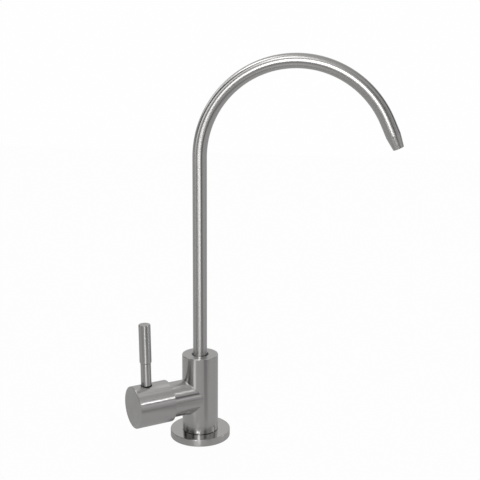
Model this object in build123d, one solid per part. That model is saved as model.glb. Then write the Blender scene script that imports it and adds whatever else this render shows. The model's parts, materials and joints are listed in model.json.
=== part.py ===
from build123d import *
import math
import os

os.makedirs("parts", exist_ok=True)

# Deck tap for filtered drinking water. Millimetres.
# Frame: origin at the centre of the base flange's underside (the sink deck), +Z up the riser,
# +X the way the spout points at rest. The side arm points to azimuth ARM_AZ.

# ---------------------------------------------------------------- driving dimensions
# body and flange
BODY_R = 12.95
BODY_TOP = 62.4
FLANGE_R = 21.75
FLANGE_T = 5.2
FLANGE_HOLE_R = 5.8
ARM_AZ = 220.3
ARM_Z = 31.5
ARM_R = 12.6
ARM_END = 31.0

# spout
TUBE_R = 5.0
TUBE_BORE_R = 4.0
TUBE_FOOT = 56.4
RISE = 204.6          # height at which the bend starts
BEND_R = 66.2         # centre-line radius of the bend
BEND_DEG = 155.5
STRAIGHT = 9.7        # straight stretch after the bend
TAPER = 9.2           # conical nozzle
TIP_R = 3.7
TIP_BORE_R = 2.7

# spout socket in the body
SOCKET_R = 6.0
SOCKET_FLOOR = 44.0
FIT = 0.05            # radial running clearance of the swivel and the spindle

# handle, measured along the arm from the body's axis
HUB_R = 14.9
HUB_BACK = 26.0
HUB_FACE = 52.8
LEVER_S = 42.2
LEVER_LEAN = 0.9      # degrees, outward
STEP_H = 31.5         # heights above the arm's axis
LEVER_H = 59.8
GRIP_R = 4.2
STEM_R_TOP = 3.65
STEM_R_BASE = 3.76
STUD_R = 2.45

# cartridge, along the arm
CHAMBER_S = 4.5
CHAMBER_R = 8.0
MOUTH_S = 23.5
MOUTH_R = 9.6
DISC_R = 6.0
SQUARE = 5.6          # drive square across its flats

# shank and fixing under the deck
SHANK_R = 5.55
SHANK_BORE_R = 3.2
SHANK_TOP = 16.5
SHANK_END = -52.0
DECK = 20.0           # deck thickness at rest

# ---------------------------------------------------------------- helpers
az = math.radians(ARM_AZ)
U = (math.cos(az), math.sin(az), 0.0)
# local frame of the arm: z = outward along the arm, x = up, y = to the back
ARM = Plane(origin=(0, 0, ARM_Z), x_dir=(0, 0, 1), z_dir=U)
# local frame of the lever: z = along the lever, x = towards the body
lean = math.radians(LEVER_LEAN)
LEV = Plane(
    origin=(U[0] * LEVER_S, U[1] * LEVER_S, ARM_Z),
    x_dir=(-U[0] * math.cos(lean), -U[1] * math.cos(lean), math.sin(lean)),
    z_dir=(U[0] * math.sin(lean), U[1] * math.sin(lean), math.cos(lean)),
)


def ring(r_out, r_in, z0, z1):
    """Plain ring or, with no inner radius, a disc."""
    s = Cylinder(r_out, z1 - z0, align=(Align.CENTER, Align.CENTER, Align.MIN))
    if r_in > 0:
        s -= Cylinder(r_in, z1 - z0, align=(Align.CENTER, Align.CENTER, Align.MIN))
    return Pos(0, 0, z0) * s


def turned(pts):
    """Solid of revolution about Z from (radius, height) points."""
    pts = [p for i, p in enumerate(pts) if i == 0 or p != pts[i - 1]]
    face = make_face(Polyline(*[(r, 0, z) for r, z in pts], close=True))
    return revolve(face, Axis.Z, 360)


def torus(major, minor, z):
    return Pos(0, 0, z) * Torus(major, minor)


def block(x0, x1, y0, y1, z0, z1):
    return Pos((x0 + x1) / 2, (y0 + y1) / 2, (z0 + z1) / 2) * Box(x1 - x0, y1 - y0, z1 - z0)


def sector(r_in, r_out, a0, a1, z0, z1):
    """Annular sector between two angles in degrees."""
    n = max(2, int(abs(a1 - a0) / 15) + 1)
    pts = [(r_in * math.cos(math.radians(a0)), r_in * math.sin(math.radians(a0)))]
    big = r_out / math.cos(math.radians((a1 - a0) / (2 * n)))
    for i in range(n + 1):
        a = math.radians(a0 + (a1 - a0) * i / n)
        pts.append((big * math.cos(a), big * math.sin(a)))
    pts.append((r_in * math.cos(math.radians(a1)), r_in * math.sin(math.radians(a1))))
    pts.append((0.0, 0.0))
    wedge = Pos(0, 0, z0) * extrude(make_face(Polyline(*pts, close=True)), amount=z1 - z0)
    return wedge & ring(r_out, r_in, z0, z1)


def hexagon(flats, z0, z1):
    return Pos(0, 0, z0) * extrude(RegularPolygon(flats / 2, 6, major_radius=False), amount=z1 - z0)


def save(shape, name):
    solids = shape.solids()
    out = solids[0] if len(solids) == 1 else Compound(children=list(solids))
    export_step(out, f"parts/{name}.step")


# ---------------------------------------------------------------- base flange and gasket
c = 0.5
base_flange = turned([
    (FLANGE_HOLE_R, 0), (7.9, 0), (7.9, 1.2), (17.6, 1.2), (17.6, 0), (FLANGE_R - 0.35, 0), (FLANGE_R, 0.35),
    (FLANGE_R, FLANGE_T - c), (FLANGE_R - c, FLANGE_T), (FLANGE_HOLE_R, FLANGE_T),
])
save(base_flange, "base_flange")
save(ring(17.55, 7.95, 0, 1.2), "flange_gasket")

# ---------------------------------------------------------------- valve body
column = turned([
    (0, FLANGE_T), (BODY_R - 0.35, FLANGE_T), (BODY_R, FLANGE_T + 0.35), (BODY_R, BODY_TOP - 0.4),
    (BODY_R - 0.4, BODY_TOP), (0, BODY_TOP),
])
arm = ARM * turned([(0, 0), (ARM_R, 0), (ARM_R, ARM_END - 0.4), (ARM_R - 0.4, ARM_END), (0, ARM_END)])
valve_body = column + arm
# the line where the arm meets the column is a small cast fillet
meet = [
    e for e in valve_body.edges()
    if e.geom_type not in (GeomType.LINE, GeomType.CIRCLE) and e.length > 10
]
try:
    rounded = valve_body.fillet(0.6, meet)
    if rounded.is_valid and abs(rounded.volume - valve_body.volume) < 200:
        valve_body = rounded
        print("fillet between arm and column made,", len(meet), "edges")
except Exception as err:
    print("no fillet between arm and column:", err)

# spout socket with its snap ring groove and a broken edge at the mouth
valve_body -= turned([
    (0, SOCKET_FLOOR), (SOCKET_R, SOCKET_FLOOR), (SOCKET_R, 54.1), (6.45, 54.1), (6.45, 55.3), (SOCKET_R, 55.3),
    (SOCKET_R, BODY_TOP - 0.25), (SOCKET_R + 0.3, BODY_TOP + 0.05), (SOCKET_R + 0.3, BODY_TOP + 1), (0, BODY_TOP + 1),
])
# shank socket, seal recess and inlet bore
valve_body -= turned([
    (0, FLANGE_T - 1), (7.8, FLANGE_T - 1), (7.8, FLANGE_T + 1.8), (SHANK_R + 0.03, FLANGE_T + 1.8), (SHANK_R + 0.03, 17.0),
    (2.6, 17.0), (2.6, ARM_Z + 1.6), (0, ARM_Z + 2.6),
])
# cartridge chamber, its threaded mouth and the axial port
valve_body -= ARM * turned([
    (0, 0), (2.5, 0), (2.5, CHAMBER_S), (CHAMBER_R, CHAMBER_S), (CHAMBER_R, MOUTH_S), (MOUTH_R, MOUTH_S),
    (MOUTH_R, ARM_END + 1), (0, ARM_END + 1),
])
# sloping waterway from the chamber up to the spout socket
p0 = (1.0, 45.5)
p1 = (7.6, 38.4)
run = math.hypot(p1[0] - p0[0], p1[1] - p0[1])
way = Plane(
    origin=(U[0] * p0[0], U[1] * p0[0], p0[1]),
    x_dir=(-U[1], U[0], 0),
    z_dir=(U[0] * (p1[0] - p0[0]), U[1] * (p1[0] - p0[0]), p1[1] - p0[1]),
)
valve_body -= way * Cylinder(1.9, run, align=(Align.CENTER, Align.CENTER, Align.MIN))
save(valve_body, "valve_body")

# ---------------------------------------------------------------- spout
theta = math.radians(BEND_DEG)
end = (BEND_R * (1 - math.cos(theta)), 0.0, RISE + BEND_R * math.sin(theta))
tip_dir = (math.sin(theta), 0.0, math.cos(theta))
end_plane = Plane(origin=end, x_dir=(0, 1, 0), z_dir=tip_dir)


def gooseneck(r, r_tip, z0, over):
    riser = Pos(0, 0, z0) * Cylinder(r, RISE - z0, align=(Align.CENTER, Align.CENTER, Align.MIN))
    disc = Plane.XY.offset(RISE) * Circle(r)
    bend = revolve(disc, Axis((BEND_R, 0, RISE), (0, 1, 0)), BEND_DEG)
    nozzle = turned([(0, 0), (r, 0), (r, STRAIGHT), (r_tip, STRAIGHT + TAPER), (r_tip, STRAIGHT + TAPER + over),
                     (0, STRAIGHT + TAPER + over)])
    return riser + bend + end_plane * nozzle


spout_tube = gooseneck(TUBE_R, TIP_R, TUBE_FOOT, 0) - gooseneck(TUBE_BORE_R, TIP_BORE_R, TUBE_FOOT, 1.0)
save(spout_tube, "spout_tube")

spout_end_fitting = turned([
    (2.6, 44.3), (5.55, 44.3), (SOCKET_R - FIT, 44.7),
    (SOCKET_R - FIT, 46.4), (4.3, 46.4), (4.3, 48.6), (SOCKET_R - FIT, 48.6),
    (SOCKET_R - FIT, 50.2), (4.3, 50.2), (4.3, 52.4), (SOCKET_R - FIT, 52.4),
    (SOCKET_R - FIT, 54.2), (5.0, 54.2), (5.0, 55.2), (SOCKET_R - FIT, 55.2),
    (SOCKET_R - FIT, 56.4), (TUBE_BORE_R, 56.4), (TUBE_BORE_R, 63.0), (2.6, 63.0),
])
save(spout_end_fitting, "spout_end_fitting")
save(Compound(children=[torus(5.14, 0.83, 47.5), torus(5.14, 0.83, 51.3)]), "spout_o_rings")
snap = ring(6.35, 5.05, 54.28, 55.12) - block(0, 8, -1.5, 1.5, 53, 57)
save(snap, "spout_snap_ring")
save(turned([(TUBE_R + 0.06, 57.0), (SOCKET_R - 0.01, 57.0), (SOCKET_R - 0.01, 61.6), (TUBE_R + 0.25, 61.6),
             (TUBE_R + 0.06, 61.3)]), "spout_guide_bush")

# ---------------------------------------------------------------- cartridge (all in the arm's frame)
save(ARM * ring(5.9, 4.7, CHAMBER_S, 6.5), "seat_seal")

fixed_disc = ring(DISC_R, 0, 6.5, 9.5)
for a in (0, 180):
    fixed_disc -= sector(1.2, 4.5, a - 38, a + 38, 6.4, 9.6)
    fixed_disc -= Rot(0, 0, a + 90) * block(5.2, 7, -1.1, 1.1, 6.4, 9.6)
save(ARM * fixed_disc, "fixed_disc")

moving_disc = ring(DISC_R - 0.05, 0, 9.5, 12.5)
for a in (90, 270):
    moving_disc -= sector(1.2, 7.0, a - 38, a + 38, 9.4, 11.0)
moving_disc -= block(-4.5, 4.5, -1.5, 1.5, 11.3, 12.6)
save(ARM * moving_disc, "moving_disc")

cartridge_housing = turned([
    (6.05, 7.0), (6.9, 7.0), (6.9, 18.0), (7.95, 18.6), (7.95, 19.5), (6.6, 19.5), (6.6, 21.7), (7.95, 21.7),
    (7.95, MOUTH_S), (9.4, MOUTH_S), (9.4, 25.0), (6.2, 25.0), (6.2, 34.0), (4.05, 34.0), (4.05, 15.9), (6.05, 15.9),
])
for a in (0, 180):
    # water windows beside the moving disc, and keys that hold the fixed disc
    cartridge_housing -= Rot(0, 0, a) * block(3, 9, -3.4, 3.4, 9.3, 12.0)
    cartridge_housing += Rot(0, 0, a + 90) * block(5.35, 6.4, -0.95, 0.95, 7.0, 9.2)
# quarter-turn stop slot for the spindle's lug
cartridge_housing -= sector(5.5, 9.0, 45 - 11.6, 135 + 11.6, 13.0, 15.4)
save(ARM * cartridge_housing, "cartridge_housing")

cartridge_spindle = turned([
    (0, 12.55), (5.85, 12.55), (5.85, 15.8), (4.0, 15.8), (4.0, 26.0), (3.0, 26.0), (3.0, 27.6), (4.0, 27.6),
    (4.0, 34.4), (3.4, 34.4), (3.4, 35.3), (4.0, 35.3), (4.0, 36.4), (0, 36.4),
])
cartridge_spindle += block(-4.4, 4.4, -1.42, 1.42, 11.4, 12.8)
cartridge_spindle += block(-SQUARE / 2, SQUARE / 2, -SQUARE / 2, SQUARE / 2, 36.0, 47.0)
cartridge_spindle += Rot(0, 0, 135) * block(5.0, 6.6, -1.2, 1.2, 13.2, 15.2)
save(ARM * cartridge_spindle, "cartridge_spindle")

save(ARM * torus(3.525, 0.49, 26.8), "spindle_o_ring")
save(ARM * torus(7.3, 0.67, 20.6), "cartridge_o_ring")
save(ARM * (ring(5.4, 3.45, 34.45, 35.25) - block(0, 8, -1.7, 1.7, 33, 37)), "spindle_circlip")

cartridge_nut = ring(MOUTH_R - 0.03, 6.3, 25.0, ARM_END) + (hexagon(19.0, ARM_END, 33.6) & ring(10.7, 0, 30, 34))
cartridge_nut -= ring(6.3, 0, 24, 35)
save(ARM * cartridge_nut, "cartridge_nut")

# ---------------------------------------------------------------- handle
handle_hub = ARM * turned([
    (ARM_R + 0.15, HUB_BACK), (HUB_R - 0.3, HUB_BACK), (HUB_R, HUB_BACK + 0.3), (HUB_R, HUB_FACE - 0.4),
    (HUB_R - 0.4, HUB_FACE), (0, HUB_FACE), (0, 37.2), (11.5, 37.2), (11.5, 31.8), (ARM_R + 0.15, 31.8),
])
handle_hub -= ARM * block(-SQUARE / 2 - 0.05, SQUARE / 2 + 0.05, -SQUARE / 2 - 0.05, SQUARE / 2 + 0.05, 36.5, 47.6)
handle_hub -= LEV * ring(STUD_R + 0.02, 0, 5.6, 13.0)
handle_hub -= LEV * ring(4.12, 0, 12.6, 20.0)
GRUB = Plane(origin=(U[0] * 41.5, U[1] * 41.5, ARM_Z), x_dir=(-U[0], -U[1], 0), z_dir=(0, 0, -1))
handle_hub -= GRUB * ring(2.0, 0, 2.0, 20.0)
save(handle_hub, "handle_hub")

grub = turned([(0, 2.8), (1.3, 2.8), (1.97, 3.5), (1.97, 13.6), (1.7, 13.9), (0, 13.9)])
grub -= hexagon(2.0, 11.4, 15)
save(GRUB * grub, "handle_grub_screw")

save(LEV * turned([
    (0, 6.0), (STUD_R - 0.4, 6.0), (STUD_R, 6.4), (STUD_R, 12.65), (STEM_R_BASE, 12.65), (STEM_R_TOP, STEP_H), (2.5, STEP_H),
    (2.5, 49.6), (2.1, 50.0), (0, 50.0),
]), "lever_stem")
save(LEV * turned([
    (2.53, STEP_H), (GRIP_R - 0.4, STEP_H), (GRIP_R, STEP_H + 0.5), (GRIP_R, LEVER_H - 0.6), (GRIP_R - 0.2, LEVER_H - 0.2),
    (GRIP_R - 0.7, LEVER_H), (0, LEVER_H), (0, 50.6), (2.53, 50.2),
]), "lever_grip")

# ---------------------------------------------------------------- shank and deck fixing
save(turned([
    (SHANK_BORE_R, SHANK_END), (SHANK_R - 0.5, SHANK_END), (SHANK_R, SHANK_END + 0.5), (SHANK_R, -42.0), (4.95, -42.0),
    (4.95, -41.0), (SHANK_R, -41.0), (SHANK_R, SHANK_TOP - 0.5), (SHANK_R - 0.5, SHANK_TOP), (SHANK_BORE_R, SHANK_TOP),
]), "threaded_shank")
save(torus(6.68, 0.87, FLANGE_T + 0.9), "shank_o_ring")
save(ring(14.0, 6.0, -DECK - 3.0, -DECK), "rubber_washer")
save(ring(12.0, 5.9, -DECK - 4.2, -DECK - 3.0), "steel_washer")
cone = turned([(0, -DECK - 11.2), (9.6, -DECK - 11.2), (11.2, -DECK - 10.3), (11.2, -DECK - 5.1), (9.6, -DECK - 4.2), (0, -DECK - 4.2)])
lock_nut = (hexagon(19.0, -DECK - 11.2, -DECK - 4.2) & cone) - ring(SHANK_R + FIT, 0, -DECK - 12, -DECK - 4)
save(lock_nut, "lock_nut")
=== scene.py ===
import json
import math

import bmesh
import bpy
from mathutils import Matrix, Vector

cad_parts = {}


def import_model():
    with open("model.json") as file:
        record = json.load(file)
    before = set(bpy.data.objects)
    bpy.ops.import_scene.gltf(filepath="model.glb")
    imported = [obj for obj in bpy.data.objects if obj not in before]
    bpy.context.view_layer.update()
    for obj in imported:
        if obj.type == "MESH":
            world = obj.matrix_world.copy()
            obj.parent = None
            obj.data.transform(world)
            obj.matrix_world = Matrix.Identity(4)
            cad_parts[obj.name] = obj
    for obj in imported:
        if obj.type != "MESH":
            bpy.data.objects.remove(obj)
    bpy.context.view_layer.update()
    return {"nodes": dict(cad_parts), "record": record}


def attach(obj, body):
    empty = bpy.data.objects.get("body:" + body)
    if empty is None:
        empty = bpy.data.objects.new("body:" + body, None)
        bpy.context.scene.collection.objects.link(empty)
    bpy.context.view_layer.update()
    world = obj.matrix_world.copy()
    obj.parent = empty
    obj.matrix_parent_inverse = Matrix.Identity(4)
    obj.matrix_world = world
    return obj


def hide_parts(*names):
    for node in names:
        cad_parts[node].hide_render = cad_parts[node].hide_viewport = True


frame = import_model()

nodes = frame["nodes"]

# ------------------------------------------------------------------ sizes, in millimetres, as in the CAD source
MM = 0.001
BODY_R, BODY_TOP = 12.95, 62.4
FLANGE_R, FLANGE_T = 21.75, 5.2
ARM_AZ, ARM_Z, ARM_R, ARM_END = math.radians(220.3), 31.5, 12.6, 31.0
TUBE_R, TUBE_BORE_R, TUBE_FOOT = 5.0, 4.0, 56.4
RISE, BEND_R, BEND = 204.6, 66.2, math.radians(155.5)
STRAIGHT, TAPER, TIP_R, TIP_BORE_R = 9.7, 9.2, 3.7, 2.7
SOCKET_R, SOCKET_FLOOR = 6.0, 44.0
HUB_R, HUB_BACK, HUB_FACE = 14.9, 26.0, 52.8
LEVER_S, LEAN, STEP_H, LEVER_H = 42.2, math.radians(0.9), 31.5, 59.8
GRIP_R, STEM_TOP, STEM_BASE, STUD_R = 4.2, 3.65, 3.76, 2.45
SQUARE = 5.6
SHANK_R, SHANK_BORE_R, SHANK_TOP, SHANK_END = 5.55, 3.2, 16.5, -52.0
PITCH = 25.4 / 24

U = Vector((math.cos(ARM_AZ), math.sin(ARM_AZ), 0.0))
UP = Vector((0.0, 0.0, 1.0))


def frame_of(origin, x_dir, z_dir):
    """Local frame as (origin, x, y, z), x, y and z of unit length."""
    z = Vector(z_dir).normalized()
    x = (Vector(x_dir) - z * Vector(x_dir).dot(z)).normalized()
    return Vector(origin), x, z.cross(x), z


ROOT = frame_of((0, 0, 0), (1, 0, 0), UP)
ARM = frame_of((0, 0, ARM_Z), UP, U)
LEV = frame_of(U * LEVER_S + UP * ARM_Z, -U * math.cos(LEAN) + UP * math.sin(LEAN), U * math.sin(LEAN) + UP * math.cos(LEAN))


def at(f, r, a, z):
    o, x, y, zz = f
    return o + x * (r * math.cos(a)) + y * (r * math.sin(a)) + zz * z


# ------------------------------------------------------------------ mesh building
def true_normals(mesh, walls):
    """Gives the faces on a round wall, (frame, radius), that wall's own normals: their uneven grid would bend highlights."""
    normals = [Vector(n.vector) for n in mesh.corner_normals]
    for poly in mesh.polygons:
        for (o, x, y, z), radius in walls:
            feet = []
            for i in poly.vertices:
                d = mesh.vertices[i].co / MM - o
                d -= z * d.dot(z)
                if abs(d.length - radius) > 2e-3:
                    break
                feet.append(d.normalized())
            else:
                mid = sum(feet, Vector()).normalized()
                if mid.dot(poly.normal) > 0.99:
                    for k, n in zip(poly.loop_indices, feet):
                        normals[k] = n
    mesh.normals_split_custom_set(normals)


class Skin:
    """Faces with texture coordinates: u in centimetres across the brush lines, v once round along them."""

    def __init__(self):
        self.points, self.faces, self.coords, self.kinds = [], [], [], []

    def rows(self, rows, us, kind=0, vs=None):
        """A strip of rows of points, one u for each row. The columns run the brush lines' way."""
        base = len(self.points)
        n = len(rows[0])
        for row in rows:
            self.points.extend(row)
        for i in range(len(rows) - 1):
            for j in range(n - 1):
                a, b = base + i * n + j, base + (i + 1) * n + j
                v0, v1 = (j / (n - 1), (j + 1) / (n - 1)) if vs is None else (vs[j], vs[j + 1])
                self.faces.append((a, a + 1, b + 1, b))
                self.coords.append(((us[i], v0), (us[i], v1), (us[i + 1], v1), (us[i + 1], v0)))
                self.kinds.append(kind if isinstance(kind, int) else kind[i])

    def quad_field(self, rows, uv, kind=0):
        """A strip whose points have their own coordinates."""
        base = len(self.points)
        n = len(rows[0])
        for row in rows:
            self.points.extend(row)
        for i in range(len(rows) - 1):
            for j in range(n - 1):
                a, b = base + i * n + j, base + (i + 1) * n + j
                self.faces.append((a, a + 1, b + 1, b))
                self.coords.append((uv[i][j], uv[i][j + 1], uv[i + 1][j + 1], uv[i + 1][j]))
                self.kinds.append(kind)

    def make(self, name, materials, sharp=34.0, weld=2e-4, round_walls=()):
        bm = bmesh.new()
        layer = bm.loops.layers.uv.new("brush")
        vs = [bm.verts.new(p * MM) for p in self.points]
        for idx, uvs, kind in zip(self.faces, self.coords, self.kinds):
            f = bm.faces.new([vs[i] for i in idx])
            f.material_index = kind
            f.smooth = True
            for loop, c in zip(f.loops, uvs):
                loop[layer].uv = c
        bmesh.ops.remove_doubles(bm, verts=bm.verts, dist=weld * MM)
        bmesh.ops.dissolve_degenerate(bm, edges=bm.edges, dist=weld * MM * 0.5)
        loose = [v for v in bm.verts if not v.link_faces]
        if loose:
            bmesh.ops.delete(bm, geom=loose, context="VERTS")
        limit = math.radians(sharp)
        for e in bm.edges:
            if len(e.link_faces) == 2 and e.calc_face_angle(0.0) > limit:
                e.smooth = False
        mesh = bpy.data.meshes.new(name)
        bm.to_mesh(mesh)
        bm.free()
        for m in materials:
            mesh.materials.append(m)
        if round_walls:
            true_normals(mesh, round_walls)
        ob = bpy.data.objects.new(name, mesh)
        bpy.context.scene.collection.objects.link(ob)
        return ob


def rounded(pts, step=12.0):
    """Open profile of (r, z) or (r, z, corner radius) points with its corners turned into arcs."""
    out = []
    for i, p in enumerate(pts):
        c = Vector(p[:2])
        rho = p[2] if len(p) > 2 else 0.0
        if rho <= 0 or i in (0, len(pts) - 1):
            out.append(c)
            continue
        a, b = Vector(pts[i - 1][:2]) - c, Vector(pts[i + 1][:2]) - c
        la, lb = a.length, b.length
        a.normalize(), b.normalize()
        turn = math.pi - a.angle(b)
        if turn < 1e-3:
            out.append(c)
            continue
        t = min(rho * math.tan(turn / 2), la * 0.49, lb * 0.49)
        rho = t / math.tan(turn / 2)
        mid = (a + b).normalized()
        centre = c + mid * (rho / math.cos(turn / 2))
        n = max(2, math.ceil(math.degrees(turn) / step))
        p0, p1 = c + a * t - centre, c + b * t - centre
        side = 1 if p0.x * p1.y - p0.y * p1.x > 0 else -1
        for k in range(n + 1):
            w = side * turn * k / n
            out.append(centre + Vector((p0.x * math.cos(w) - p0.y * math.sin(w), p0.x * math.sin(w) + p0.y * math.cos(w))))
    return [(p.x, p.y) for p in out]


def turned(skin, f, profile, segs=128, kind=0, u0=0.0):
    """Surface of revolution about the frame's z. Outside runs up, so that the faces look out."""
    us, rows = [u0], []
    for i, (r, z) in enumerate(profile):
        if i:
            us.append(us[-1] + math.dist(profile[i], profile[i - 1]) / 10)
        rows.append([at(f, r, 2 * math.pi * j / segs, z) for j in range(segs + 1)])
    skin.rows(rows, us, kind)
    return us[-1]


# ------------------------------------------------------------------ materials
def new_material(name):
    m = bpy.data.materials.new(name)
    m.use_nodes = True
    nt = m.node_tree
    for n in list(nt.nodes):
        nt.nodes.remove(n)
    out = nt.nodes.new("ShaderNodeOutputMaterial")
    bsdf = nt.nodes.new("ShaderNodeBsdfPrincipled")
    nt.links.new(bsdf.outputs["BSDF"], out.inputs["Surface"])
    return m, nt, bsdf


def node(nt, kind, **values):
    n = nt.nodes.new(kind)
    for k, v in values.items():
        setattr(n, k, v)
    return n


def maths(nt, op, a, b=None, clamp=False):
    n = node(nt, "ShaderNodeMath", operation=op, use_clamp=clamp)
    for i, x in enumerate((a, b)):
        if x is None:
            continue
        if isinstance(x, (int, float)):
            n.inputs[i].default_value = x
        else:
            nt.links.new(x, n.inputs[i])
    return n.outputs[0]


def ranged(nt, value, a, b, c, d, smooth=False):
    n = node(nt, "ShaderNodeMapRange", interpolation_type="SMOOTHSTEP" if smooth else "LINEAR")
    nt.links.new(value, n.inputs["Value"])
    for k, x in zip(("From Min", "From Max", "To Min", "To Max"), (a, b, c, d)):
        n.inputs[k].default_value = x
    return n.outputs["Result"]


def noise(nt, vector, scale=1.0, detail=2.0, rough=0.5):
    n = node(nt, "ShaderNodeTexNoise")
    n.inputs["Scale"].default_value = scale
    n.inputs["Detail"].default_value = detail
    n.inputs["Roughness"].default_value = rough
    nt.links.new(vector, n.inputs["Vector"])
    return n.outputs["Fac"]


def tinted(nt, base, factor):
    """base colour times a grey factor."""
    mix = node(nt, "ShaderNodeMix", data_type="RGBA", blend_type="MULTIPLY")
    mix.inputs["Factor"].default_value = 1.0
    mix.inputs["A"].default_value = (*base, 1.0)
    nt.links.new(factor, mix.inputs["B"])
    return mix.outputs["Result"]


def nickel(name, base=(0.625, 0.617, 0.611), rough=0.30, aniso=0.90, seed=0.0, lines=0.5):
    """Brushed nickel: fine scratches round the turned surface, so highlights stretch across them."""
    m, nt, bsdf = new_material(name)
    uv = node(nt, "ShaderNodeUVMap", uv_map="brush")
    sep = node(nt, "ShaderNodeSeparateXYZ")
    nt.links.new(uv.outputs["UV"], sep.inputs[0])
    u, turn = sep.outputs["X"], maths(nt, "MULTIPLY", sep.outputs["Y"], 2 * math.pi)
    cos, sin = maths(nt, "COSINE", turn), maths(nt, "SINE", turn)

    def streaks(freq, along, detail, shift):
        comb = node(nt, "ShaderNodeCombineXYZ")
        nt.links.new(maths(nt, "ADD", maths(nt, "MULTIPLY", u, freq), seed + shift), comb.inputs[0])
        nt.links.new(maths(nt, "MULTIPLY", cos, along), comb.inputs[1])
        nt.links.new(maths(nt, "MULTIPLY", sin, along), comb.inputs[2])
        return noise(nt, comb.outputs[0], 1.0, detail)

    fine = streaks(70.0, 1.6, 3.0, 3.1)
    medium = streaks(16.0, 1.1, 2.0, 7.7)
    broad = streaks(1.6, 0.9, 2.0, 1.3)
    grain = maths(nt, "ADD", maths(nt, "MULTIPLY", fine, 0.55), maths(nt, "MULTIPLY", medium, 0.45))
    shade = maths(nt, "ADD", ranged(nt, grain, 0.3, 0.7, 0.992, 1.006), ranged(nt, broad, 0.3, 0.7, -0.012, 0.012))
    nt.links.new(tinted(nt, base, shade), bsdf.inputs["Base Color"])
    nt.links.new(ranged(nt, broad, 0.3, 0.7, rough - 0.004, rough + 0.004), bsdf.inputs["Roughness"])
    bump = node(nt, "ShaderNodeBump")
    bump.inputs["Strength"].default_value = 0.03 * lines
    bump.inputs["Distance"].default_value = 0.00002
    nt.links.new(fine, bump.inputs["Height"])
    nt.links.new(bump.outputs["Normal"], bsdf.inputs["Normal"])
    bsdf.inputs["Metallic"].default_value = 1.0
    bsdf.inputs["Anisotropic"].default_value = aniso
    tan = node(nt, "ShaderNodeTangent", direction_type="UV_MAP", uv_map="brush")
    nt.links.new(tan.outputs["Tangent"], bsdf.inputs["Tangent"])
    return m


def plain(name, base, metallic, rough, scale, contrast=0.08, bump_mm=0.01, stretch=(1, 1, 1), coat=0.0):
    """A part finish on the CAD's own mesh: grain, colour variation and bump from its place on the part."""
    m, nt, bsdf = new_material(name)
    tc = node(nt, "ShaderNodeTexCoord")
    mp = node(nt, "ShaderNodeMapping")
    mp.inputs["Scale"].default_value = stretch
    nt.links.new(tc.outputs["Object"], mp.inputs["Vector"])
    fine = noise(nt, mp.outputs[0], scale, 4.0, 0.6)
    broad = noise(nt, mp.outputs[0], scale * 0.08, 2.0)
    shade = maths(nt, "ADD", ranged(nt, fine, 0.3, 0.7, 1 - contrast, 1 + contrast), ranged(nt, broad, 0.3, 0.7, -contrast / 2, contrast / 2))
    nt.links.new(tinted(nt, base, shade), bsdf.inputs["Base Color"])
    nt.links.new(ranged(nt, fine, 0.3, 0.7, rough - 0.06, rough + 0.08), bsdf.inputs["Roughness"])
    bump = node(nt, "ShaderNodeBump")
    bump.inputs["Strength"].default_value = 0.3
    bump.inputs["Distance"].default_value = bump_mm * MM
    nt.links.new(fine, bump.inputs["Height"])
    nt.links.new(bump.outputs["Normal"], bsdf.inputs["Normal"])
    bsdf.inputs["Metallic"].default_value = metallic
    if coat:
        bsdf.inputs["Coat Weight"].default_value = coat
    return m


nickel_spout = nickel("brushed_nickel_spout", seed=0.0, rough=0.25, aniso=0.88, lines=0.15)
nickel_body = nickel("brushed_nickel_body", seed=21.0, rough=0.23, aniso=0.88, lines=0.2)
nickel_flange = nickel("brushed_nickel_flange", seed=43.0, rough=0.11, aniso=0.35, lines=0.2)
nickel_edge = nickel("brushed_nickel_flange_edge", seed=51.0, rough=0.26, aniso=0.90, lines=0.2)
nickel_hub = nickel("brushed_nickel_hub", seed=67.0, rough=0.25, aniso=0.88, lines=0.15)
nickel_lever = nickel("brushed_nickel_lever", seed=89.0, rough=0.24, aniso=0.88, lines=0.2)
nickel_end = nickel("brushed_nickel_end_face", seed=101.0, aniso=0.35, rough=0.36)
nickel_inside = nickel("machined_inside", base=(0.42, 0.40, 0.36), seed=131.0, aniso=0.3, rough=0.42)
# painted shade: near-black for the shadow in narrow gaps, at the lever's neck, in its seat on the hub and at the foot
# of the column
painted_shade_dark = nickel("painted_shade_gap", base=(0.035, 0.034, 0.033), seed=171.0, aniso=0.2, rough=0.55)
brass_thread = nickel("brass_thread", base=(0.74, 0.58, 0.32), seed=151.0, aniso=0.2, rough=0.30)
brass = plain("machined_brass", (0.74, 0.58, 0.32), 1.0, 0.30, 900, stretch=(1, 1, 1))
steel = plain("zinc_plated_steel", (0.58, 0.60, 0.61), 1.0, 0.34, 1400)
rubber = plain("moulded_rubber", (0.030, 0.030, 0.032), 0.0, 0.62, 2600, contrast=0.25, bump_mm=0.03)
nylon = plain("moulded_nylon", (0.045, 0.045, 0.047), 0.0, 0.42, 1800, contrast=0.2, bump_mm=0.02)
ceramic = plain("lapped_ceramic", (0.86, 0.85, 0.81), 0.0, 0.16, 1500, contrast=0.03, bump_mm=0.004, coat=0.3)

FINISH = {
    "brass": brass, "steel": steel, "rubber": rubber, "nylon": nylon, "ceramic": ceramic, "nickel_body": nickel_body,
    "nickel_flange": nickel_flange, "nickel_spout": nickel_spout, "nickel_hub": nickel_hub, "nickel_lever": nickel_lever,
}
slot_of = {s["node"]: s["material_slot"] for s in frame["record"]["subparts"]}


def piece(skin, name, body, node_name, materials, **kw):
    ob = skin.make(name, materials, **kw)
    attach(ob, body)
    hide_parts(node_name)
    return ob


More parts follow.
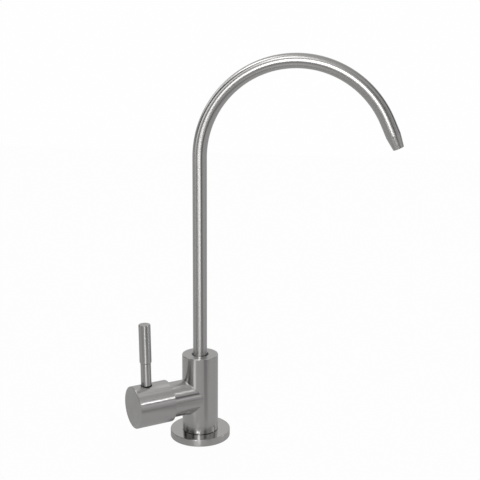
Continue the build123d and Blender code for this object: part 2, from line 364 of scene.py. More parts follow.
# ------------------------------------------------------------------ spout tube with its conical nozzle
def path(s):
    """Centre and direction after s millimetres of the tube's centre line, from its foot."""
    rise = RISE - TUBE_FOOT
    if s <= rise:
        return Vector((0, 0, TUBE_FOOT + s)), 0.0
    a = (s - rise) / BEND_R
    if a <= BEND:
        return Vector((BEND_R * (1 - math.cos(a)), 0, RISE + BEND_R * math.sin(a))), a
    rest = s - rise - BEND_R * BEND
    end = Vector((BEND_R * (1 - math.cos(BEND)), 0, RISE + BEND_R * math.sin(BEND)))
    return end + Vector((math.sin(BEND), 0, math.cos(BEND))) * rest, BEND


def tube_ring(s, r, segs):
    c, a = path(s)
    x, y = Vector((math.cos(a), 0, -math.sin(a))), Vector((0, 1, 0))
    return [c + x * (r * math.cos(t)) + y * (r * math.sin(t)) for t in (2 * math.pi * j / segs for j in range(segs + 1))]


def spout():
    segs = 64
    s_bend, s_end = RISE - TUBE_FOOT, RISE - TUBE_FOOT + BEND_R * BEND
    s_tip = s_end + STRAIGHT + TAPER
    centre = [s_bend * k / 14 for k in range(15)] + [s_bend + BEND_R * BEND * k / 72 for k in range(1, 73)]
    nozzle = [(s_end + 4, TUBE_R)]
    # the cone starts with a soft corner
    tip = rounded([(TUBE_R, s_end + 5), (TUBE_R, s_end + STRAIGHT, 5.0), (TIP_R, s_tip, 0.22), (TIP_BORE_R, s_tip, 0.18),
                   (TIP_BORE_R, s_tip - 1.2, 0.4), (TUBE_BORE_R, s_tip - TAPER, 3.0), (TUBE_BORE_R, s_end)], step=8)
    line = [(TUBE_R - 0.35, 0.0), (TUBE_R, 0.35)] + [(TUBE_R, s) for s in centre[1:]] + [(r, s) for s, r in nozzle] + tip
    line += [(TUBE_BORE_R, s) for s in reversed(centre[:-1])] + [(TUBE_R - 0.35, 0.0)]
    us, rows = [0.0], []
    for i, (r, s) in enumerate(line):
        if i:
            us.append(us[-1] + math.dist(line[i], line[i - 1]) / 10)
        rows.append(tube_ring(s, r, segs))
    sk = Skin()
    first_in = next(i for i, (r, s) in enumerate(line) if i > 20 and r <= TIP_BORE_R + 0.01)
    sk.rows(rows, us, [1 if i >= first_in + 1 else 0 for i in range(len(line))])
    return piece(sk, "spout_tube_skin", "spout", "spout_tube", [nickel_spout, nickel_inside])


spout()


# ------------------------------------------------------------------ cylinder wall with a hole let into it
def wall_with_hole(skin, f, radius, phi_c, zs_low, zs_high, half, z0, z1, hole, m=26, depth=9, back=64, kind=0, u_of=None):
    """Cylinder wall about the frame's z. A rectangle of half angle half about phi_c, from z0 to z1, holds the hole,
    whose edge is hole(k) -> (angle from phi_c, z) for k from 0 to 4, with its corners at whole numbers.
    zs_low and zs_high are the rows under and over the rectangle. Returns the angles of the wall's columns; its points
    meet the hole's edge."""
    m2 = m
    tops = [half - 2 * half * k / m for k in range(m + 1)]
    sides = [z1 + (z0 - z1) * k / m2 for k in range(m2 + 1)]
    loop = [(a, z1) for a in tops] + [(-half, z) for z in sides[1:]] + [(-a, z0) for a in tops[1:]] + [(half, z) for z in reversed(sides[:-1])]
    total = len(loop) - 1
    edge = [hole(4 * k / total) for k in range(total + 1)]
    rows, uv = [], []
    for i in range(depth + 1):
        w = (i / depth) ** 1.6
        pts = [(e[0] + (q[0] - e[0]) * w, e[1] + (q[1] - e[1]) * w) for e, q in zip(edge, loop)]
        rows.append([at(f, radius, phi_c + a, z) for a, z in pts])
        uv.append([(z / 10, a / (2 * math.pi) + 0.5) for a, z in pts])
    skin.quad_field(rows[::-1], uv[::-1], kind)
    angles = list(reversed(tops)) + [half + (2 * math.pi - 2 * half) * k / back for k in range(1, back + 1)]
    vs = [a / (2 * math.pi) + 0.5 for a in angles]

    def block(zs, angs, v):
        skin.rows([[at(f, radius, phi_c + a, z) for a in angs] for z in zs], [z / 10 for z in zs], kind, v)

    block(zs_low + [z0], angles, vs)
    block([z1] + zs_high, angles, vs)
    block(list(reversed(sides)), angles[m:], vs[m:])
    return angles


def ring_at(f, r, z, phi_c, angles):
    return [at(f, r, phi_c + a, z) for a in angles]


# ------------------------------------------------------------------ valve body: column and arm meet in a small fillet
def valve_body():
    sk = Skin()
    rho = 0.75
    h = 16.2
    half = math.radians(89)

    def corner_angle(k):
        """Angle round the arm for the hole's edge: 0 is its top, positive to the +half side."""
        return math.radians(45) - math.radians(90) * k

    def centre(psi):
        y = (ARM_R + rho) * math.sin(psi)
        s = math.sqrt(max(0.0, (BODY_R + rho) ** 2 - y * y))
        return s, y, (ARM_R + rho) * math.cos(psi)

    def hole(k):
        s, y, z = centre(corner_angle(k))
        return math.atan2(y, s), ARM_Z + z

    foot = rounded([(BODY_R - 1.2, FLANGE_T), (BODY_R - 0.35, FLANGE_T, 0.05), (BODY_R, FLANGE_T + 0.35, 0.25), (BODY_R, FLANGE_T + 2.0)], 10)
    rim = rounded([(BODY_R, BODY_TOP - 2.0), (BODY_R, BODY_TOP, 0.42), (SOCKET_R + 0.35, BODY_TOP, 0.12), (SOCKET_R, BODY_TOP - 0.35, 0.1),
                   (SOCKET_R, BODY_TOP - 1.0)], 10)
    lows = [FLANGE_T + 2.0, 9.0, 12.0]
    highs = [51.0, 55.0, BODY_TOP - 2.0]
    angles = wall_with_hole(sk, ROOT, BODY_R, ARM_AZ, lows, highs, half, ARM_Z - h, ARM_Z + h, hole, m=30, depth=7, back=66)
    vs = [a / (2 * math.pi) + 0.5 for a in angles]

    def lathe(profile, kind):
        us = [profile[0][1] / 10]
        for i in range(1, len(profile)):
            us.append(us[-1] + math.dist(profile[i], profile[i - 1]) / 10)
        sk.rows([ring_at(ROOT, r, z, ARM_AZ, angles) for r, z in profile], us, kind, vs)

    # underside with the seal recess and the shank's socket
    under = [(0, 17.0), (SHANK_R + 0.03, 17.0), (SHANK_R + 0.03, FLANGE_T + 1.8), (7.8, FLANGE_T + 1.8), (7.8, FLANGE_T)] + foot
    # the joint with the flange is a dark line of painted shade, for the shadow in the gap
    lathe(under, [3 if r > BODY_R - 1.5 and z < FLANGE_T + 0.3 else 0 for r, z in under])
    top_face = next(i for i, p in enumerate(rim) if p[1] > BODY_TOP - 0.02)
    lathe(rim[: top_face + 1], 0)
    lathe(rim[top_face:], 2)
    lathe([(SOCKET_R, BODY_TOP - 1.0), (SOCKET_R, 55.3), (6.45, 55.3), (6.45, 54.1), (SOCKET_R, 54.1), (SOCKET_R, SOCKET_FLOOR), (0, SOCKET_FLOOR)], 1)

    # fillet, then the arm: rows run round the arm
    n = 120
    turns = [-2 * math.pi * j / n for j in range(n + 1)]  # same sense as the hole's edge
    psis = [math.radians(45) + t for t in turns]

    def world(s, y, z):
        # y towards +angle side of the column
        side = Vector((-math.sin(ARM_AZ), math.cos(ARM_AZ), 0.0))
        return U * s + side * y + UP * (ARM_Z + z)

    steps = 6
    rows, uv = [], []
    for i in range(steps + 1):
        w = i / steps
        row, co = [], []
        for j, psi in enumerate(psis):
            s, y, z = centre(psi)
            c = Vector((s, y, z))
            on_col = Vector((s * BODY_R / (BODY_R + rho), y * BODY_R / (BODY_R + rho), z)) - c
            on_arm = Vector((s, ARM_R * math.sin(psi), ARM_R * math.cos(psi))) - c
            ang = on_col.angle(on_arm)
            p = c + (on_col * math.sin((1 - w) * ang) + on_arm * math.sin(w * ang)) / max(math.sin(ang), 1e-9) if ang > 1e-4 else c + on_arm
            row.append(world(*p))
            co.append((s / 10 + w * 0.06, psi / (2 * math.pi)))
        rows.append(row)
        uv.append(co)
    sk.quad_field(rows, uv, 0)
    rows, uv = [rows[-1]], [[(centre(p)[0] / 10 + 0.06, p / (2 * math.pi)) for p in psis]]
    for s1 in [14.5, 17.0, 20.0, 24.0, 28.0, ARM_END - 0.4]:
        rows.append([world(s1, ARM_R * math.sin(p), ARM_R * math.cos(p)) for p in psis])
        uv.append([(s1 / 10 + 0.06, p / (2 * math.pi)) for p in psis])
    sk.quad_field(rows, uv, 0)
    inner = rounded([(ARM_R, ARM_END - 0.4), (ARM_R, ARM_END, 0.35), (9.6, ARM_END, 0.2), (9.6, 23.5), (8.0, 23.5), (8.0, 4.5), (0, 4.5)], 15)
    us = [ARM_END / 10]
    for i in range(1, len(inner)):
        us.append(us[-1] + math.dist(inner[i], inner[i - 1]) / 10)
    sk.rows([[world(z, r * math.sin(p), r * math.cos(p)) for p in psis] for r, z in inner], us,
            [0 if i < 6 else 1 for i in range(len(inner))], [p / (2 * math.pi) for p in psis])
    return piece(sk, "valve_body_skin", "root", "valve_body", [nickel_body, nickel_inside, nickel_end, painted_shade_dark],
                 round_walls=((ROOT, BODY_R), (ARM, ARM_R)))


valve_body()


# ------------------------------------------------------------------ base flange
def base_flange():
    sk = Skin()
    bottom = rounded([(5.8, 1.5), (5.8, 0, 0.15), (7.9, 0), (7.9, 1.2), (17.6, 1.2), (17.6, 0), (FLANGE_R, 0, 0.3), (FLANGE_R, FLANGE_T, 0.45),
                      (BODY_R - 2.0, FLANGE_T), (5.8, FLANGE_T), (5.8, 1.5)], 10)
    edge = next(i for i, p in enumerate(bottom) if p[0] > FLANGE_R - 0.05)
    turned(sk, ROOT, bottom, 144, [1 if edge <= i and p[0] > FLANGE_R - 0.25 else 0 for i, p in enumerate(bottom)])
    return piece(sk, "base_flange_skin", "root", "base_flange", [nickel_flange, nickel_edge])


base_flange()


# ------------------------------------------------------------------ hub of the handle, with the lever's seat and the screw's hole
def handle_hub():
    sk = Skin()
    hole_r = 4.12
    z0, z1 = LEVER_S - 7.5, LEVER_S + 7.5
    half = math.radians(90)

    def top_hole(k):
        a = math.radians(45) - math.radians(90) * k
        lat, along = hole_r * math.sin(a), hole_r * math.cos(a)
        height = math.sqrt(HUB_R ** 2 - lat ** 2)
        return math.asin(lat / HUB_R), LEVER_S + along + height * math.tan(LEAN)

    def low_hole(k):
        a = math.radians(45) - math.radians(90) * k
        lat, along = 2.0 * math.sin(a), 2.0 * math.cos(a)
        return math.asin(lat / HUB_R), 41.5 + along

    # two half walls, each with its hole; the column of points at a quarter turn is shared
    def half_wall(phi_c, hole):
        m, depth = 28, 10
        tops = [half - 2 * half * k / m for k in range(m + 1)]
        sides = [z1 + (z0 - z1) * k / m for k in range(m + 1)]
        loop = [(a, z1) for a in tops] + [(-half, z) for z in sides[1:]] + [(-a, z0) for a in tops[1:]] + [(half, z) for z in reversed(sides[:-1])]
        total = len(loop) - 1
        edge = [hole(4 * k / total) for k in range(total + 1)]
        rows, uv = [], []
        for i in range(depth + 1):
            w = (i / depth) ** 1.7
            pts = [(e[0] + (q[0] - e[0]) * w, e[1] + (q[1] - e[1]) * w) for e, q in zip(edge, loop)]
            rows.append([at(ARM, HUB_R, phi_c + a, z) for a, z in pts])
            uv.append([(z / 10, (phi_c + a) / (2 * math.pi)) for a, z in pts])
        sk.quad_field(rows[::-1], uv[::-1], 0)
        return edge

    edge_top = half_wall(0.0, top_hole)
    edge_low = half_wall(math.pi, low_hole)
    m = 28
    ring = [math.pi / 2 - math.pi * k / m for k in range(m + 1)]
    ring = sorted(set([round(a, 9) for a in ring] + [round(a + math.pi, 9) for a in ring]))

    def lathe(profile, kind, start):
        us = [start]
        for i in range(1, len(profile)):
            us.append(us[-1] + math.dist(profile[i], profile[i - 1]) / 10)
        sk.rows([[at(ARM, r, a, z) for a in ring] for r, z in profile], us, kind, [a / (2 * math.pi) for a in ring])

    back = rounded([(12.75, 31.8), (12.75, HUB_BACK, 0.15), (HUB_R, HUB_BACK, 0.35), (HUB_R, z0)], 10)
    lathe(back, 0, 0.0)
    front = rounded([(HUB_R, z1), (HUB_R, HUB_FACE, 0.40), (HUB_R - 3, HUB_FACE)], 9)
    lathe(front, 0, z1 / 10)
    lathe([(HUB_R - 3, HUB_FACE), (HUB_R - 8, HUB_FACE), (1.0, HUB_FACE), (0, HUB_FACE)], 1, 9.0)
    # recess at the back and the square socket for the spindle
    lathe([(11.5, 37.2), (11.5, 31.8), (12.75, 31.8)], 2, 12.0)
    n = len(ring)

    def square(z, half_side):
        row = []
        for a in ring:
            c, s = math.cos(a), math.sin(a)
            k = half_side / max(abs(c), abs(s))
            row.append(at(ARM, k, a, z))
        return row

    hs = SQUARE / 2 + 0.05
    centre = [at(ARM, 0, 0, 47.6)] * n
    sk.rows([centre, square(47.6, hs), square(37.2, hs), [at(ARM, 11.5, a, 37.2) for a in ring]], [13, 13.3, 14.3, 15], 2,
            [a / (2 * math.pi) for a in ring])

    # seat of the lever
    def seat(edge, radii_depths, kind):
        """Loops down the hole from its edge on the wall."""
        total = len(edge) - 1
        first = [at(ARM, HUB_R, edge_phi + a, z) for a, z in edge]
        loops, us = [first], [0.0]
        for r, h in radii_depths:
            loop = []
            for k in range(total + 1):
                a = math.radians(45) - math.radians(90) * (4 * k / total)
                loop.append(place(r, a, h))
            us.append(us[-1] + 0.3)
            loops.append(loop)
        sk.rows(loops, us, kind)

    edge_phi = 0.0

    def place(r, a, h):
        o, x, y, z = LEV
        # along +U is -x; the side that the wall's angle grows to is the arm frame's y
        return o - x * (r * math.cos(a)) + ARM[2] * (r * math.sin(a)) + z * h

    # the seat's wall and floor are painted near-black, painted shade for the dark gap round the lever's foot
    seat(edge_top, [(4.12, 12.6), (STUD_R + 0.02, 12.6), (STUD_R + 0.02, 5.6), (0.0, 5.6)], 3)
    edge_phi = math.pi

    def place(r, a, h):
        return U * (41.5 + r * math.cos(a)) + UP * (ARM_Z - h) - ARM[2] * (r * math.sin(a))

    seat(edge_low, [(2.0, 2.9), (0.0, 2.9)], 2)
    return piece(sk, "handle_hub_skin", "handle", "handle_hub", [nickel_hub, nickel_end, nickel_inside, painted_shade_dark], round_walls=((ARM, HUB_R),))


handle_hub()


# ------------------------------------------------------------------ lever
def lever():
    sk = Skin()
    # the foot has a neck painted near-black, painted shade that draws the black arc of shadow round it on the hub
    stem = rounded([(0, 6.0), (STUD_R - 0.4, 6.0), (STUD_R, 6.4), (STUD_R, 12.65), (3.25, 12.65), (3.25, 14.75), (STEM_BASE - 0.25, 15.1),
                    (STEM_BASE - 0.02, 15.3, 0.1), (STEM_TOP, STEP_H, 0.1), (2.5, STEP_H), (2.5, 49.6), (2.1, 50.0), (0, 50.0)], 10)
    turned(sk, LEV, stem, 56, [1 if 12.6 < z < 15.0 else 0 for r, z in stem])
    piece(sk, "lever_stem_skin", "handle", "lever_stem", [nickel_lever, painted_shade_dark])
    sk = Skin()
    grip = rounded([(0, 50.6), (2.53, 50.2), (2.53, STEP_H), (GRIP_R - 0.5, STEP_H, 0.1), (GRIP_R, STEP_H + 0.75, 0.6), (GRIP_R, LEVER_H, 0.65),
                    (2.2, LEVER_H), (0, LEVER_H)], 9)
    turned(sk, LEV, grip, 64)
    piece(sk, "lever_grip_skin", "handle", "lever_grip", [nickel_lever])


lever()


# ------------------------------------------------------------------ shank with its real thread
def shank():
    sk = Skin()
    segs, per = 60, 8
    depth = 0.58

    def threaded(lo, hi):
        """Thread form: flat crest, sloping flanks, narrow root."""
        rows = []
        count = math.ceil((hi - lo) / (PITCH / per)) + per + 1
        for i in range(-per, count):
            row = []
            for j in range(segs + 1):
                z = lo + i * PITCH / per + PITCH * j / segs
                phase = (i % per) / per
                t = abs(phase - 0.5) * 2
                cut = min(1.0, max(0.0, (t - 0.12) / 0.76))
                zc = min(max(z, lo), hi)
                fade = min(1.0, max(0.0, (zc - lo) / 0.5), max(0.0, (hi - zc) / 0.5))
                row.append(at(ROOT, SHANK_R - depth * (1 - cut) * fade - depth * 0.55 * (1 - fade) * (1 if zc in (lo, hi) else 0.0),
                              2 * math.pi * j / segs, zc))
            rows.append(row)
        sk.rows(rows, [k * PITCH / per / 10 for k in range(len(rows))], 0)

    top, low = -0.6, SHANK_END + 0.3
    threaded(low, -42.0)
    threaded(-41.0, top)
    end_r = SHANK_R - depth * 0.55
    turned(sk, ROOT, rounded([(SHANK_BORE_R, SHANK_TOP), (SHANK_BORE_R, SHANK_END), (end_r - 0.3, SHANK_END, 0.1), (end_r, low)], 20), segs)
    turned(sk, ROOT, [(end_r, -42.0), (4.95, -41.9), (4.95, -41.1), (end_r, -41.0)], segs)
    turned(sk, ROOT, [(end_r, top), (SHANK_R, top + 0.2), (SHANK_R, SHANK_TOP - 0.5), (SHANK_R - 0.5, SHANK_TOP), (SHANK_BORE_R, SHANK_TOP)], segs)
    return piece(sk, "threaded_shank_skin", "root", "threaded_shank", [brass_thread])


shank()


# ------------------------------------------------------------------ washers with moulded and stamped edges
def washers():
    sk = Skin()
    turned(sk, ROOT, rounded([(6.0, -21.5), (6.0, -23.0, 0.35), (14.0, -23.0, 0.6), (14.0, -20.0, 0.6), (6.0, -20.0, 0.35), (6.0, -21.5)], 14), 96)
    piece(sk, "rubber_washer_skin", "deck_washers", "rubber_washer", [rubber])
    sk = Skin()
    turned(sk, ROOT, rounded([(5.9, -23.6), (5.9, -24.2, 0.12), (12.0, -24.2, 0.3), (12.0, -23.0, 0.12), (5.9, -23.0, 0.12), (5.9, -23.6)], 14), 96)
    piece(sk, "steel_washer_skin", "deck_washers", "steel_washer", [steel])


washers()

# ------------------------------------------------------------------ finish of the CAD's own meshes
for name, ob in nodes.items():
    for i in range(len(ob.material_slots)):
        ob.material_slots[i].link = "OBJECT"
        ob.material_slots[i].material = FINISH[slot_of[name]]

# ------------------------------------------------------------------ camera, as the photograph's
cam_data = bpy.data.cameras.new("camera")
cam = bpy.data.objects.new("camera", cam_data)
bpy.context.scene.collection.objects.link(cam)
bpy.context.scene.camera = cam
cam_data.lens, cam_data.sensor_width = 66.885, 36.0
cam_data.clip_start, cam_data.clip_end = 0.02, 60.0
fwd = Vector((-0.18089, 0.95804, -0.22270)).normalized()
right = Vector((0.98264, 0.18554, 0.0)).normalized()
up = right.cross(fwd).normalized()
roll = math.radians(0.45)
r2, u2 = right * math.cos(roll) + up * math.sin(roll), up * math.cos(roll) - right * math.sin(roll)
cam.matrix_world = Matrix((
    (r2.x, u2.x, -fwd.x, 0.14075), (r2.y, u2.y, -fwd.y, -0.59363), (r2.z, u2.z, -fwd.z, 0.28600), (0, 0, 0, 1),
))

# ------------------------------------------------------------------ stage: pale floor, studio surroundings, strip lights
scene = bpy.context.scene
scene.view_settings.view_transform = "Standard"

world = bpy.data.worlds.new("studio")
scene.world = world
world.use_nodes = True
wt = world.node_tree
for n in list(wt.nodes):
    wt.nodes.remove(n)
w_out = wt.nodes.new("ShaderNodeOutputWorld")
tc = node(wt, "ShaderNodeTexCoord")
sep = node(wt, "ShaderNodeSeparateXYZ")
wt.links.new(tc.outputs["Generated"], sep.inputs[0])
CAM_AZ = math.radians(-76.6)


def azimuth_of(nt, x, y):
    """Degrees from the front of the studio, positive to the right."""
    def dot(cx, cy):
        return maths(nt, "ADD", maths(nt, "MULTIPLY", x, cx), maths(nt, "MULTIPLY", y, cy))
    side, front = dot(-math.sin(CAM_AZ), math.cos(CAM_AZ)), dot(math.cos(CAM_AZ), math.sin(CAM_AZ))
    return maths(nt, "MULTIPLY", maths(nt, "ARCTAN2", side, front), 180 / math.pi)


def band(nt, value, a, b, soft):
    return maths(nt, "MULTIPLY", ranged(nt, value, a - soft, a + soft, 0, 1, True), ranged(nt, value, b - soft, b + soft, 1, 0, True))


def darkened(nt, level, across, along, patches):
    """level with soft dark patches (a0, a1, soft, b0, b1, soft, share kept)."""
    for a0, a1, sa, b0, b1, sb, keep in patches:
        mask = maths(nt, "MULTIPLY", band(nt, across, a0, a1, sa), band(nt, along, b0, b1, sb))
        level = maths(nt, "MULTIPLY", level, maths(nt, "SUBTRACT", 1.0, maths(nt, "MULTIPLY", mask, 1 - keep)))
    return level


azim = azimuth_of(wt, sep.outputs["X"], sep.outputs["Y"])
elev = maths(wt, "MULTIPLY", maths(wt, "ARCSINE", sep.outputs["Z"]), 180 / math.pi)
level = ranged(wt, elev, -10, 60, 0.43, 0.50, True)
behind = maths(wt, "MULTIPLY", ranged(wt, maths(wt, "ABSOLUTE", azim), 135, 165, 0, 1, True), band(wt, elev, 6, 45, 8))
level = maths(wt, "ADD", level, maths(wt, "MULTIPLY", behind, 0.08))
level = darkened(wt, level, azim, elev, (
    (23, 41, 5, -60, 50, 8, 0.20),
    (30, 76, 5, 20.5, 28.5, 1.5, 0.0),
    (-100, -38, 6, 2, 66, 5, 0.03),
    (-136, -98, 6, 3, 42, 5, 0.06),
    (97, 126, 5, 8, 42, 5, 0.12),
    (62, 155, 8, 30, 75, 8, 0.80),
))
surround = node(wt, "ShaderNodeBackground")
surround.inputs["Color"].default_value = (1.0, 0.998, 0.995, 1)
wt.links.new(level, surround.inputs["Strength"])
paper = node(wt, "ShaderNodeBackground")
paper.inputs["Color"].default_value = (1, 1, 1, 1)
paper.inputs["Strength"].default_value = 0.993
lp = node(wt, "ShaderNodeLightPath")
mix = node(wt, "ShaderNodeMixShader")
wt.links.new(lp.outputs["Is Camera Ray"], mix.inputs[0])
wt.links.new(surround.outputs[0], mix.inputs[1])
wt.links.new(paper.outputs[0], mix.inputs[2])
wt.links.new(mix.outputs[0], w_out.inputs["Surface"])


def floor():
    bm = bmesh.new()
    n, size = 24, 1.6
    grid = [[bm.verts.new((size * (2 * i / n - 1), size * (2 * j / n - 1), 0)) for j in range(n + 1)] for i in range(n + 1)]
    for i in range(n):
        for j in range(n):
            bm.faces.new((grid[i][j], grid[i + 1][j], grid[i + 1][j + 1], grid[i][j + 1]))
    mesh = bpy.data.meshes.new("floor")
    bm.to_mesh(mesh)
    bm.free()
    ob = bpy.data.objects.new("floor", mesh)
    scene.collection.objects.link(ob)
    m = bpy.data.materials.new("pale_floor")
    m.use_nodes = True
    nt = m.node_tree
    for x in list(nt.nodes):
        nt.nodes.remove(x)
    out = nt.nodes.new("ShaderNodeOutputMaterial")
    seen = node(nt, "ShaderNodeAddShader")
    glow = node(nt, "ShaderNodeEmission")
    glow.inputs["Strength"].default_value = 0.966
    soft = node(nt, "ShaderNodeBsdfDiffuse")
    soft.inputs["Color"].default_value = (0.055, 0.055, 0.055, 1)
    nt.links.new(glow.outputs[0], seen.inputs[0])
    nt.links.new(soft.outputs[0], seen.inputs[1])
    # painted reflection: what the metal mirrors is a glowing pale table with soft dark patches painted on it in place
    # of flags
    geo = node(nt, "ShaderNodeNewGeometry")
    spot = node(nt, "ShaderNodeSeparateXYZ")
    nt.links.new(geo.outputs["Position"], spot.inputs[0])
    x, y = spot.outputs["X"], spot.outputs["Y"]
    radius = maths(nt, "SQRT", maths(nt, "ADD", maths(nt, "MULTIPLY", x, x), maths(nt, "MULTIPLY", y, y)))
    around = azimuth_of(nt, x, y)
    dimmed = darkened(nt, 0.34, around, radius, (
        (24, 46, 4, 0.05, 0.27, 0.02, 0.62),
        (22, 42, 4, 0.31, 1.5, 0.04, 0.22),
        (20, 62, 6, 0.18, 0.31, 0.02, 0.45),
        (-58, -30, 5, 0.17, 0.32, 0.03, 0.60),
        (-62, 40, 8, 0.52, 0.84, 0.06, 0.35),
    ))
    table = node(nt, "ShaderNodeEmission")
    nt.links.new(dimmed, table.inputs["Strength"])
    bounce = node(nt, "ShaderNodeBsdfDiffuse")
    bounce.inputs["Color"].default_value = (0.20, 0.20, 0.198, 1)
    matt = node(nt, "ShaderNodeAddShader")
    nt.links.new(table.outputs[0], matt.inputs[0])
    nt.links.new(bounce.outputs[0], matt.inputs[1])
    path_node = node(nt, "ShaderNodeLightPath")
    pick = node(nt, "ShaderNodeMixShader")
    nt.links.new(path_node.outputs["Is Camera Ray"], pick.inputs[0])
    nt.links.new(matt.outputs[0], pick.inputs[1])
    nt.links.new(seen.outputs[0], pick.inputs[2])
    # the floor is seen from above only, so that a view from below shows the fixing
    clear = node(nt, "ShaderNodeBsdfTransparent")
    side = node(nt, "ShaderNodeMixShader")
    nt.links.new(geo.outputs["Backfacing"], side.inputs[0])
    nt.links.new(pick.outputs[0], side.inputs[1])
    nt.links.new(clear.outputs[0], side.inputs[2])
    nt.links.new(side.outputs[0], out.inputs["Surface"])
    mesh.materials.append(m)


floor()


def strip(name, az_deg, el_deg, dist, width, height, power, tilt=0.0, only=None, focus=(0, 0, 0.12), soft=0.5, ends=0.0, spread=180.0):
    """Area light seen in reflections, az_deg to the right of the studio's front, el_deg up. Its sides fade over a share
    soft of its width, its ends over a share ends of its height."""
    a, e = CAM_AZ + math.radians(az_deg), math.radians(el_deg)
    away = Vector((math.cos(a) * math.cos(e), math.sin(a) * math.cos(e), math.sin(e)))
    data = bpy.data.lights.new(name, "AREA")
    data.shape = "RECTANGLE"
    data.size, data.size_y = width, height
    data.energy = power
    data.spread = math.radians(spread)
    data.use_nodes = True
    lt = data.node_tree
    glow = next(n for n in lt.nodes if n.type == "EMISSION")
    place_on = node(lt, "ShaderNodeNewGeometry")
    across = node(lt, "ShaderNodeSeparateXYZ")
    lt.links.new(place_on.outputs["Parametric"], across.inputs[0])

    def fade(place, share):
        off = maths(lt, "MULTIPLY", maths(lt, "ABSOLUTE", maths(lt, "SUBTRACT", place, 0.5)), 2.0)
        return ranged(lt, off, 1.0 - share, 1.0, 1.0, 0.0, True)

    strength = fade(across.outputs["X"], soft)
    if ends:
        strength = maths(lt, "MULTIPLY", strength, fade(across.outputs["Y"], ends))
    lt.links.new(strength, glow.inputs["Strength"])
    ob = bpy.data.objects.new(name, data)
    ob.visible_camera = False
    scene.collection.objects.link(ob)
    z = away
    x = UP.cross(z).normalized()
    y = z.cross(x)
    t = math.radians(tilt)
    x2, y2 = x * math.cos(t) + y * math.sin(t), y * math.cos(t) - x * math.sin(t)
    c = Vector(focus) + away * dist
    ob.matrix_world = Matrix(((x2.x, y2.x, z.x, c.x), (x2.y, y2.y, z.y, c.y), (x2.z, y2.z, z.z, c.z), (0, 0, 0, 1)))
    if only:
        group = bpy.data.collections.new(name + "_lights")
        for piece_name in only:
            group.objects.link(bpy.data.objects[piece_name])
        ob.light_linking.receiver_collection = group
    return ob


def table_strip(name, az_deg, near, far, width, power, only, around=(0.0, 0.0)):
    """Area light lying on the table, from near to far away in the direction az_deg, shining up."""
    ob = strip(name, az_deg, 0, (near + far) / 2, width, far - near, power, only=only, focus=(*around, 0.002))
    a = CAM_AZ + math.radians(az_deg)
    out, c = Vector((math.cos(a), math.sin(a), 0)), ob.matrix_world.translation
    x, z = UP.cross(out), -UP
    ob.matrix_world = Matrix(((x.x, -out.x, z.x, c.x), (x.y, -out.y, z.y, c.y), (x.z, -out.z, z.z, c.z), (0, 0, 0, 1)))
    return ob


SPOUT = ["spout_tube_skin"]
BODY = ["valve_body_skin"]
FLANGE = ["base_flange_skin"]
HUB = ["handle_hub_skin"]
LEVER = ["lever_stem_skin", "lever_grip_skin"]
AT_LEVER = (LEVER_S * MM * U.x, LEVER_S * MM * U.y)

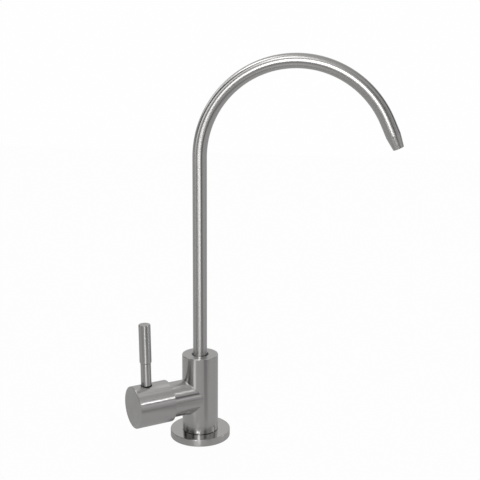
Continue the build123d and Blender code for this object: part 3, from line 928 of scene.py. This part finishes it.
# soft boxes, az and el in degrees: (name, az, el, width, height, power, tilt, soft, ends, the pieces that it lights)
for name, az, el, wide, high, power, tilt, soft, ends, only in (
    ("key", -9, 18, 0.72, 0.70, 5.6, 25, 0.35, 0.35, SPOUT),
    ("top_left", -36, 58, 0.80, 0.80, 6.5, 0, 1.0, 1.0, SPOUT),
    ("back_high", -112, 61, 0.80, 0.80, 6.8, 0, 1.0, 1.0, SPOUT),
    ("back_left", -128, 30, 0.95, 0.80, 3.6, 0, 1.0, 1.0, SPOUT),
    ("left_low", -74, 17, 0.80, 0.80, 2.8, 0, 1.0, 1.0, SPOUT),
    ("left_fill", -58, 31, 0.80, 0.80, 2.2, 0, 1.0, 1.0, SPOUT),
    ("key_left", -30, 3, 0.34, 0.50, 0.7, 0, 0.6, 0.6, SPOUT),
    ("hub_bar", 51, 27.2, 0.068, 1.20, 1.85, 90, 0.75, 0.3, HUB),
    ("hub_right", 58, 14, 0.80, 0.80, 0.80, 0, 1.0, 1.0, HUB),
    ("hub_front", 12, 42, 0.44, 0.54, 1.8, 0, 1.0, 1.0, HUB),
    ("hub_high", 60, 78, 0.80, 0.80, 1.1, 0, 1.0, 1.0, HUB),
    ("hub_left", -76, 58, 0.80, 0.80, 4.9, 0, 1.0, 1.0, HUB),
    ("hub_back", -120, 62, 0.80, 0.80, 8.1, 0, 1.0, 1.0, HUB),
    ("hub_rear", 160, 60, 0.16, 1.20, 0.50, 90, 1.0, 0.4, HUB),
    ("arm_bar", 60, 46.2, 0.066, 1.20, 0.70, 90, 0.7, 0.3, BODY),
    ("arm_low", 50, 6, 0.16, 1.20, 0.29, 90, 1.0, 0.4, BODY),
    ("body_front", -10, 28, 0.44, 0.54, 3.1, 0, 1.0, 1.0, BODY),
    ("body_left", -85, 32, 0.80, 0.80, 2.9, 0, 1.0, 1.0, BODY),
    ("body_top", -100, 80, 0.80, 0.80, 9.8, 0, 1.0, 1.0, BODY),
    ("body_right", 118, 20, 0.80, 0.80, 0.84, 0, 1.0, 1.0, BODY),
    ("flange_left", -17, 6, 0.05, 0.40, 2.0, 0, 0.5, 0.6, FLANGE),
    ("flange_middle", -4, 6, 0.05, 0.40, 4.0, 0, 0.5, 0.6, FLANGE),
    ("flange_front", -10, 4, 0.44, 0.54, 0.8, 0, 1.0, 1.0, FLANGE),
    ("flange_high", -21, 42, 0.44, 0.54, 4.8, 0, 1.0, 1.0, FLANGE),
    ("flange_back", -115, 14, 0.80, 0.80, 0.75, 0, 1.0, 1.0, FLANGE),
    ("flange_side", 92, 6, 0.24, 0.40, 1.8, 0, 1.0, 0.8, FLANGE),
    ("flange_right", 118, 20, 0.80, 0.80, 1.6, 0, 1.0, 1.0, FLANGE),
    ("lever_front", 1, 4, 0.44, 0.54, 4.5, 0, 1.0, 1.0, LEVER),
    ("lever_left", -80, 36, 0.80, 0.80, 3.8, 0, 1.0, 1.0, LEVER),
    ("lever_rear", -160, 60, 0.80, 0.80, 1.5, 0, 1.0, 1.0, LEVER),
    ("lever_right", 70, 6, 0.24, 0.40, 2.8, 0, 1.0, 0.8, LEVER),
):
    strip(name, az, el, 1.2, wide, high, power, tilt=tilt, only=only, soft=soft, ends=ends)
table_strip("riser_low", -1, 0.14, 0.30, 0.12, 0.018, SPOUT)
# three narrow panels with grids, so that they light the riser and not the bend
for i, az in enumerate((-14, -3, 8)):
    strip("riser_%d" % (i + 1), az, -10.5, 0.32, 0.068, 0.16, 0.0007, only=SPOUT, focus=(0, 0, 0.148), soft=0.3, ends=0.3, spread=24)
table_strip("lever_strip", 3,0.09, 0.31, 0.062, 0.038, LEVER, around=AT_LEVER)
table_strip("body_strip", -34, 0.08, 0.27, 0.040, 0.017, BODY)
